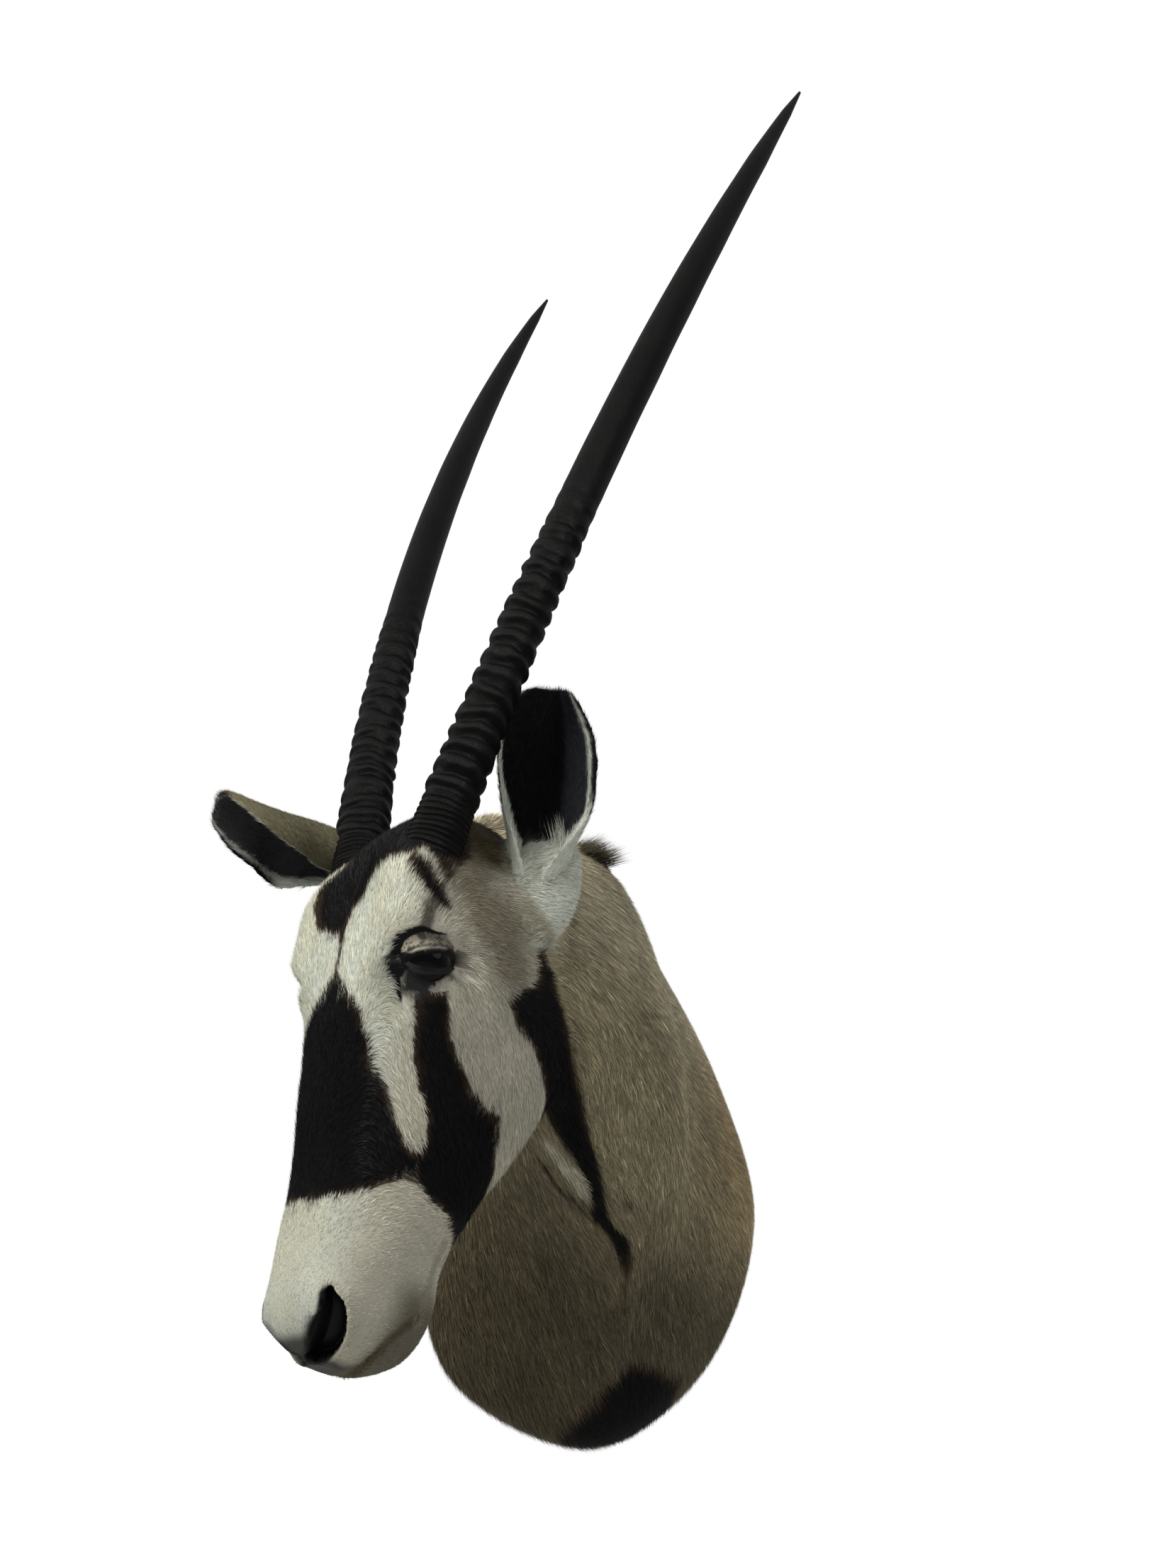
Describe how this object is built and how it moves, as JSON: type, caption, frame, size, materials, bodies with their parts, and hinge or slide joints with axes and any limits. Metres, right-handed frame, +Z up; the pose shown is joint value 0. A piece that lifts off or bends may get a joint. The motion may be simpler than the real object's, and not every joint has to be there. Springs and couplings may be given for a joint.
{
  "type": "gemsbok shoulder mount",
  "caption": "Wall-hung antelope shoulder mount: a turned head with long ringed horns, cupped ears and glass eyes on a full neck, backed by a board with a keyhole hanger.",
  "frame": {"origin": "middle of the board's back face, in the plane of the wall", "axes": "+Z up, +Y into the wall along the board's outward normal, +X to the animal's left, which is the viewer's right"},
  "size_m": [0.5053, 0.6712, 1.2339],
  "materials": {
    "hide": "short dense fur, grey-tan on the neck with near-black and off-white face markings",
    "horn": "satin near-black keratin, ringed below and smooth above",
    "eye_glass": "glossy dark brown glass",
    "board_wood": "plain sanded board",
    "hanger_steel": "zinc-plated sheet"
  },
  "bodies": {
    "root": {"cape": "hide", "left_horn": "horn", "right_horn": "horn", "left_eye": "eye_glass", "right_eye": "eye_glass", "backboard": "board_wood", "hanger_plate": "hanger_steel"}
  },
  "joints": []
}
